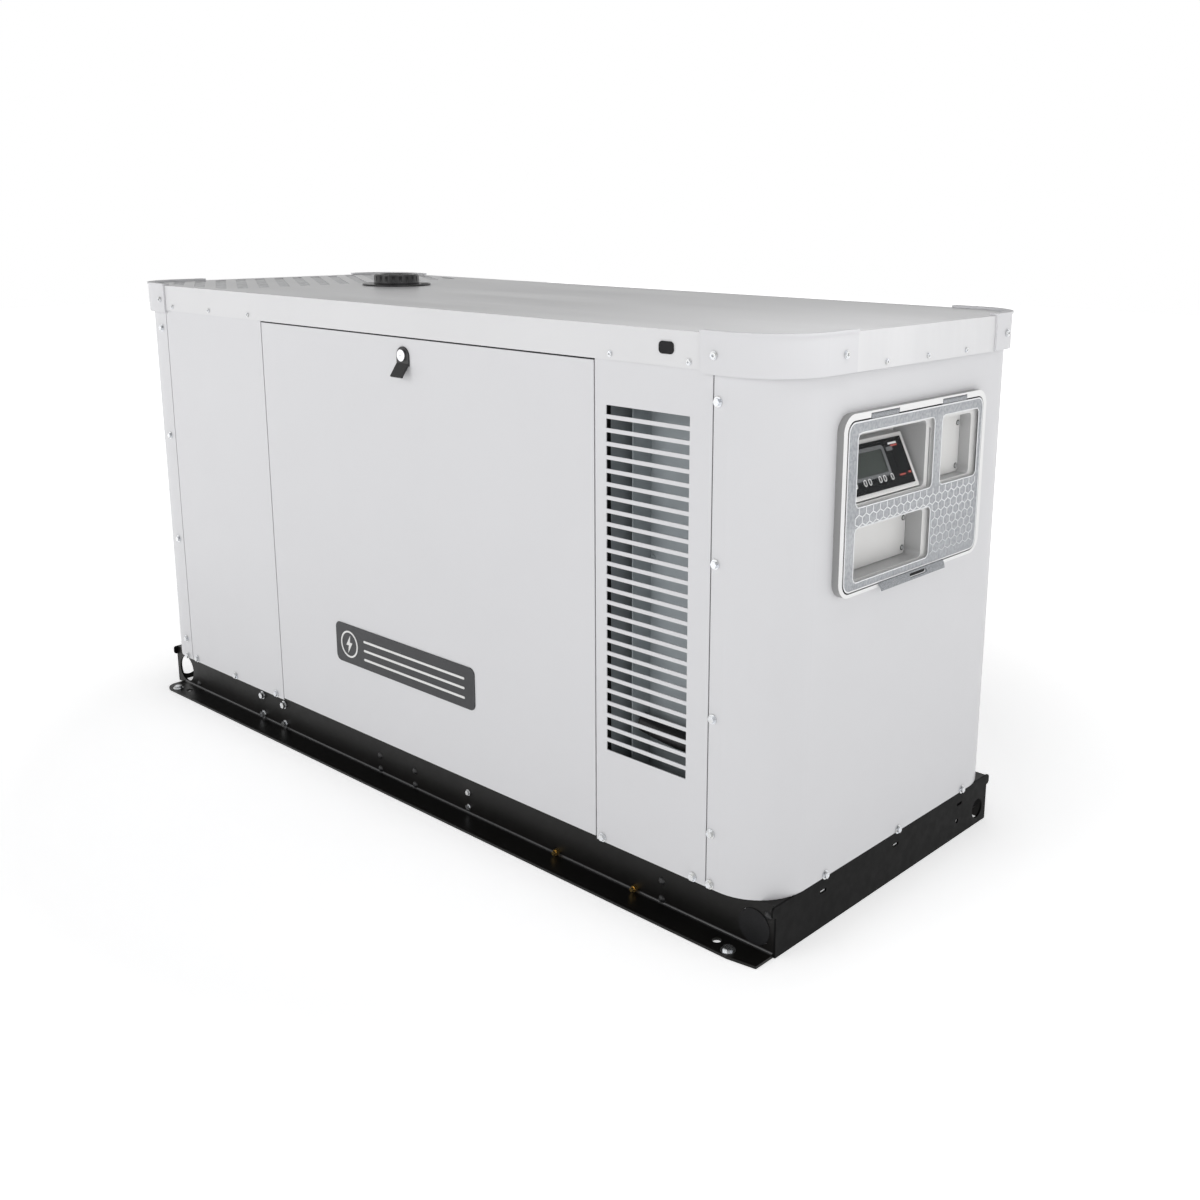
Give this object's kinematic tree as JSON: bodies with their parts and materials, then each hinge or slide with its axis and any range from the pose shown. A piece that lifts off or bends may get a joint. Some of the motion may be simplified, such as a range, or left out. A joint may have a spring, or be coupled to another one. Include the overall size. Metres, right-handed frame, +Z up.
{
  "type": "standby generator",
  "caption": "Sheet-metal enclosed home standby generator with tilting service doors, louvres, a clear control cover, slotted roof discharge and a folded steel base.",
  "frame": {"origin": "middle of the underside of the base, on the flat bottom of the central cross member", "axes": "+X along the length toward the control end, -Y toward the front with the latch side, +Z up"},
  "size_m": [1.987, 0.82, 1.052],
  "materials": {
    "enclosure_paint": "light warm-grey powder coat, fine texture",
    "base_paint": "black semi-gloss paint",
    "black_plastic": "black moulded plastic, satin",
    "zinc": "bright zinc plating",
    "galvanised": "plain galvanised sheet",
    "brass_fitting": "machined brass",
    "bezel_plastic": "off-white moulded plastic",
    "tray_plastic": "white moulded plastic",
    "clear_cover": "clear polycarbonate, textured border",
    "display": "grey-green liquid crystal display behind glass",
    "panel_black": "black control overlay",
    "button_plastic": "light grey plastic buttons",
    "foam": "sound-absorbing foam with a rough face",
    "engine_paint": "dark engine enamel",
    "cast_aluminium": "cast aluminium",
    "exhaust_steel": "heat-marked steel",
    "rubber": "black rubber",
    "radiator_black": "matt black radiator paint",
    "fan_plastic": "black moulded fan",
    "baffle_paint": "blue-grey coated sheet",
    "battery_case": "black battery case",
    "breaker_case": "dark grey moulded breaker case"
  },
  "bodies": {
    "frame": {"base_rails": "base_paint", "end_plates": "base_paint", "cross_members": "base_paint", "floor_pan": "base_paint", "hole_plugs": "black_plastic", "base_bolts": "zinc", "carriage_bolts": "base_paint", "drain_fittings": "brass_fitting", "left_end_panel": "enclosure_paint", "right_end_panel": "enclosure_paint", "blank_panels": "enclosure_paint", "louvre_panels": "enclosure_paint", "inner_frame": "galvanised", "door_pivots": "zinc", "roof_panel": "enclosure_paint", "discharge_screen": "galvanised", "corner_caps": "enclosure_paint", "roof_screws": "zinc", "panel_bolts": "zinc", "fill_neck": "black_plastic", "window_bezel": "bezel_plastic", "control_tray": "tray_plastic", "blank_plates": "tray_plastic", "controller_housing": "tray_plastic", "controller_face": "panel_black", "display_glass": "display", "engine_block": "engine_paint", "cylinder_head": "cast_aluminium", "exhaust_system": "exhaust_steel", "air_cleaner": "black_plastic", "engine_accessories": "cast_aluminium", "vibration_mounts": "rubber", "radiator": "radiator_black", "fan_shroud": "radiator_black", "coolant_hoses": "rubber", "drive_belt": "rubber", "alternator_housing": "cast_aluminium", "air_baffle": "baffle_paint", "battery": "battery_case", "breaker": "breaker_case"},
    "front_door": {"front_door_skin": "enclosure_paint", "front_door_foam": "foam", "front_latch_plate": "black_plastic"},
    "front_latch": {"front_latch_cylinder": "zinc"},
    "rear_door": {"rear_door_skin": "enclosure_paint", "rear_door_foam": "foam", "rear_latch_plate": "black_plastic"},
    "rear_latch": {"rear_latch_cylinder": "zinc"},
    "control_cover": {"clear_cover": "clear_cover"},
    "filler_cap": {"fill_cap": "black_plastic"},
    "key_up": {"button_up": "button_plastic"},
    "key_down": {"button_down": "button_plastic"},
    "key_enter": {"button_enter": "button_plastic"},
    "key_auto": {"button_auto": "button_plastic"},
    "key_manual": {"button_manual": "button_plastic"},
    "key_off": {"button_off": "button_plastic"},
    "crank": {"crankshaft": "exhaust_steel"},
    "water_pump": {"pump_pulley": "cast_aluminium", "fan": "fan_plastic"},
    "breaker_handle": {"breaker_lever": "black_plastic"}
  },
  "joints": [
    {"name": "front_door_tilt", "type": "hinge", "parent": "frame", "child": "front_door", "pos_m": [0, -0.373, 0.105], "axis": [1, 0, 0], "range_deg": [0, 30]},
    {"name": "front_latch_turn", "type": "hinge", "parent": "front_door", "child": "front_latch", "pos_m": [0.068, -0.3812, 0.932], "axis": [0, -1, 0], "range_deg": [0, 90]},
    {"name": "rear_door_tilt", "type": "hinge", "parent": "frame", "child": "rear_door", "pos_m": [0, 0.373, 0.105], "axis": [-1, 0, 0], "range_deg": [0, 30]},
    {"name": "rear_latch_turn", "type": "hinge", "parent": "rear_door", "child": "rear_latch", "pos_m": [0.068, 0.3812, 0.932], "axis": [0, -1, 0], "range_deg": [0, 90]},
    {"name": "control_cover_lift", "type": "hinge", "parent": "frame", "child": "control_cover", "pos_m": [0.9845, 0, 0.889], "axis": [0, -1, 0], "range_deg": [0, 100]},
    {"name": "filler_cap_turn", "type": "hinge", "parent": "frame", "child": "filler_cap", "pos_m": [-0.5, 0.037, 1.03], "axis": [0, 0, 1], "range_deg": [0, 90]},
    {"name": "crank_turn", "type": "hinge", "parent": "frame", "child": "crank", "pos_m": [0, 0, 0.33], "axis": [1, 0, 0], "continuous": true},
    {"name": "water_pump_turn", "type": "hinge", "parent": "frame", "child": "water_pump", "pos_m": [0, 0, 0.48], "axis": [1, 0, 0], "continuous": true},
    {"name": "breaker_handle_turn", "type": "hinge", "parent": "frame", "child": "breaker_handle", "pos_m": [0.885, 0, 0.44], "axis": [0, -1, 0], "range_deg": [0, 50]},
    {"name": "key_up_press", "type": "slide", "parent": "frame", "child": "key_up", "axis": [-0.8965, 0, -0.4431], "range_m": [0, 0.001], "stiffness_N_per_m": 600},
    {"name": "key_down_press", "type": "slide", "parent": "frame", "child": "key_down", "axis": [-0.8965, 0, -0.4431], "range_m": [0, 0.001], "stiffness_N_per_m": 600},
    {"name": "key_enter_press", "type": "slide", "parent": "frame", "child": "key_enter", "axis": [-0.8965, 0, -0.4431], "range_m": [0, 0.001], "stiffness_N_per_m": 600},
    {"name": "key_auto_press", "type": "slide", "parent": "frame", "child": "key_auto", "axis": [-0.8965, 0, -0.4431], "range_m": [0, 0.001], "stiffness_N_per_m": 600},
    {"name": "key_manual_press", "type": "slide", "parent": "frame", "child": "key_manual", "axis": [-0.8965, 0, -0.4431], "range_m": [0, 0.001], "stiffness_N_per_m": 600},
    {"name": "key_off_press", "type": "slide", "parent": "frame", "child": "key_off", "axis": [-0.8965, 0, -0.4431], "range_m": [0, 0.001], "stiffness_N_per_m": 600}
  ],
  "couplings": [
    {"joint": "water_pump_turn", "follows": "crank_turn", "ratio": 1.25}
  ]
}
